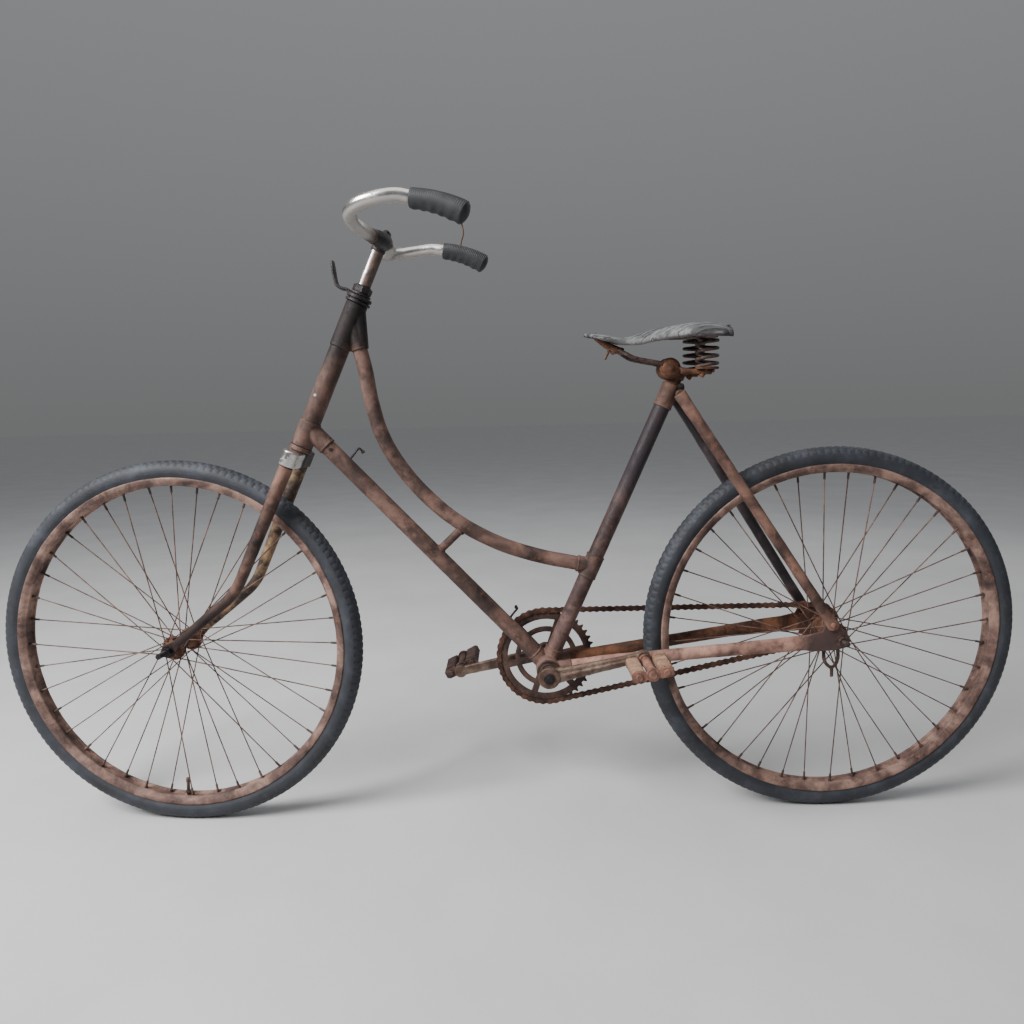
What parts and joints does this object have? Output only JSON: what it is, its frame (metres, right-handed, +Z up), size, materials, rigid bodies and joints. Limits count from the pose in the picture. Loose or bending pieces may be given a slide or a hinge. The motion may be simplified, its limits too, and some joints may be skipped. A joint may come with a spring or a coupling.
{
  "type": "rusty step-through roadster bicycle",
  "caption": "Rusty step-through roadster bicycle: curved loop frame, wire wheels, swept handlebar, chain drive and coil-sprung leather saddle.",
  "frame": {"origin": "on top of the saddle, where the rider sits", "axes": "+X to the bicycle's front, +Y to its left, +Z up, with both wheels' ground line level"},
  "size_m": [1.8316, 0.3609, 1.0624],
  "materials": {
    "frame": "old paint turned to brown rust",
    "dark_steel": "dark, greasy and rusted",
    "chrome": "worn, with rust breaking through",
    "axle": "dark steel with rust",
    "chain": "rusted all over",
    "crank": "worn steel with tan rust",
    "rust": "orange rust",
    "rim": "rusted and pitted",
    "spokes": "rusted",
    "tyre": "dusty, worn tread",
    "grip": "dusty moulded rubber",
    "pedal_rubber": "faded and worn",
    "leather": "dry, cracked leather"
  },
  "bodies": {
    "frame": {"bottom_bracket_shell": "frame", "bridge_tube": "frame", "chain": "chain", "chainstay_left": "frame", "chainstay_right": "frame", "down_tube": "frame", "head_lug_lower": "frame", "head_lug_upper": "dark_steel", "head_tube": "frame", "headset_cup_lower": "dark_steel", "headset_cup_upper": "dark_steel", "loop_tube": "frame", "middle_lug": "frame", "rear_axle": "axle", "rear_sprocket": "chain", "saddle_clamp": "rust", "saddle_leather": "leather", "saddle_nose": "dark_steel", "saddle_plate": "dark_steel", "saddle_rail": "dark_steel", "saddle_spring_left": "dark_steel", "saddle_spring_right": "dark_steel", "seat_lug": "frame", "seat_post": "dark_steel", "seat_tube_lower": "frame", "seat_tube_upper": "frame", "seatstay_left": "frame", "seatstay_right": "frame"},
    "fork": {"fork_blade_left": "frame", "fork_blade_right": "frame", "fork_crown": "chrome", "front_axle": "axle", "grip_left": "grip", "grip_right": "grip", "handlebar": "chrome", "headset_locknut": "dark_steel", "lamp_bracket": "dark_steel", "stem": "chrome"},
    "front_wheel": {"front_hub_and_spokes": "spokes", "front_rim": "rim", "front_tyre": "tyre"},
    "rear_wheel": {"rear_hub_and_spokes": "spokes", "rear_rim": "rim", "rear_tyre": "tyre"},
    "crank": {"chainring": "chain", "crank_left": "crank", "crank_right": "crank", "crank_spindle": "axle"},
    "pedal_left": {"pedal_block_left_front": "pedal_rubber", "pedal_block_left_rear": "pedal_rubber", "pedal_left": "rust"},
    "pedal_right": {"pedal_block_right_front": "pedal_rubber", "pedal_block_right_rear": "pedal_rubber", "pedal_right": "rust"}
  },
  "joints": [
    {"name": "steering", "type": "hinge", "parent": "frame", "child": "fork", "pos_m": [0.8451, 0, -0.55], "axis": [-0.415, 0, 0.9098], "range_deg": [-71.27, 78.73]},
    {"name": "front_wheel_spin", "type": "hinge", "parent": "fork", "child": "front_wheel", "pos_m": [0.92316, -0.00463, -0.55006], "axis": [0.0592, 0.9979, 0.027], "continuous": true},
    {"name": "rear_wheel_spin", "type": "hinge", "parent": "frame", "child": "rear_wheel", "pos_m": [-0.245, 0, -0.55], "axis": [0, 1, 0], "continuous": true},
    {"name": "crank_spin", "type": "hinge", "parent": "frame", "child": "crank", "pos_m": [0.261, 0, -0.6032], "axis": [0, 1, 0], "continuous": true},
    {"name": "pedal_left_spin", "type": "hinge", "parent": "crank", "child": "pedal_left", "pos_m": [0.09796, 0, -0.56944], "axis": [0, 1, 0], "continuous": true},
    {"name": "pedal_right_spin", "type": "hinge", "parent": "crank", "child": "pedal_right", "pos_m": [0.42404, 0, -0.63696], "axis": [0, 1, 0], "continuous": true}
  ]
}
